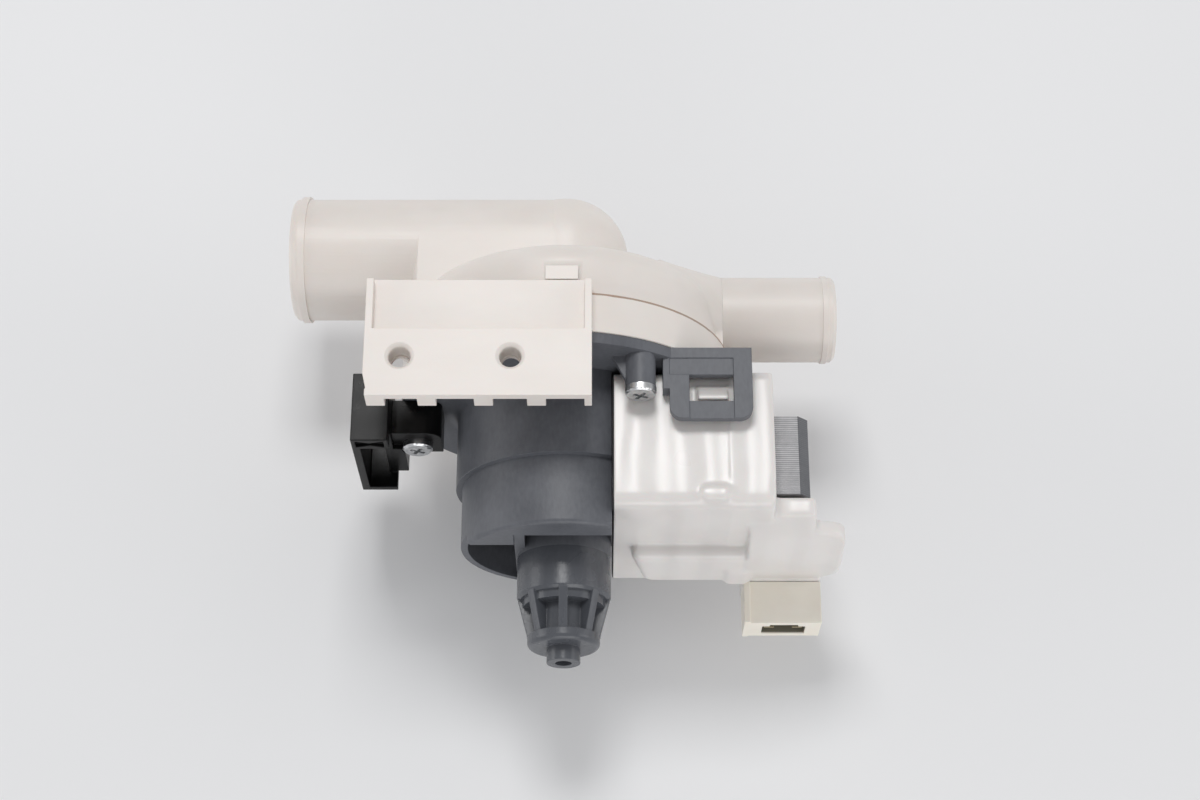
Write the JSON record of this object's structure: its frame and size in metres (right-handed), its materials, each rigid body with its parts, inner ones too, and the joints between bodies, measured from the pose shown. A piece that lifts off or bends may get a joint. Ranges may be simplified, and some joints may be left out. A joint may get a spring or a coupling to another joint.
{
  "type": "washer drain pump",
  "caption": "Synchronous drain pump: round chamber with side inlet elbow and outlet spigot, ribbed bracket, grey rotor cup in a shroud, white coil housing and plug socket.",
  "frame": {"origin": "under the middle of the whole part, at the level of the chamber ring's lowest point", "axes": "+X towards the outlet spigot, +Y along the rotor axis from the motor towards the inlet, +Z towards the bracket's mounting face"},
  "size_m": [0.1764, 0.16, 0.1106],
  "materials": {
    "chamber_plastic": "moulded, fine satin",
    "mount_plastic": "glass-filled moulding, matt",
    "clip_plastic": "moulded, satin black",
    "white_resin": "glossy moulded resin",
    "connector_plastic": "moulded, satin",
    "lamination_steel": "stacked sheet steel, cut edges",
    "screw_zinc": "bright zinc plate",
    "shaft_steel": "ground",
    "ferrite": "sintered, matt",
    "rotor_plastic": "moulded, matt",
    "seal_rubber": "moulded rubber",
    "bearing_metal": "sintered bronze",
    "bobbin_plastic": "moulded",
    "copper_wire": "enamelled wire",
    "fuse_body": "smooth",
    "pin_brass": "tinned brass"
  },
  "bodies": {
    "pump_body": {"volute_housing": "chamber_plastic", "inlet_elbow": "chamber_plastic", "outlet_tube": "chamber_plastic", "bracket_ring": "chamber_plastic", "motor_mount": "mount_plastic", "side_clip": "clip_plastic", "coil_housing": "white_resin", "connector_shell": "connector_plastic", "stator_core": "lamination_steel", "mount_screws": "screw_zinc", "chamber_seal": "seal_rubber", "shaft_seal": "seal_rubber", "back_bearing": "bearing_metal", "back_bearing_holder": "seal_rubber", "front_bearing": "bearing_metal", "front_bearing_holder": "seal_rubber", "upper_bobbin": "bobbin_plastic", "lower_bobbin": "bobbin_plastic", "upper_winding": "copper_wire", "lower_winding": "copper_wire", "thermal_fuse": "fuse_body", "terminal_pins": "pin_brass"},
    "rotor": {"rotor_shaft": "shaft_steel", "rotor_magnet": "ferrite", "magnet_sleeve": "rotor_plastic", "drive_dog": "rotor_plastic", "thrust_washers": "bearing_metal"},
    "impeller_group": {"impeller": "rotor_plastic", "hub_cap": "rotor_plastic"}
  },
  "joints": [
    {"name": "rotor_spin", "type": "hinge", "parent": "pump_body", "child": "rotor", "pos_m": [0.0012, -0.0241, 0.0526], "axis": [0, 1, 0], "continuous": true},
    {"name": "impeller_lost_motion", "type": "hinge", "parent": "rotor", "child": "impeller_group", "pos_m": [0.0012, 0.0139, 0.0526], "axis": [0, 1, 0], "range_deg": [-138, 138]}
  ]
}
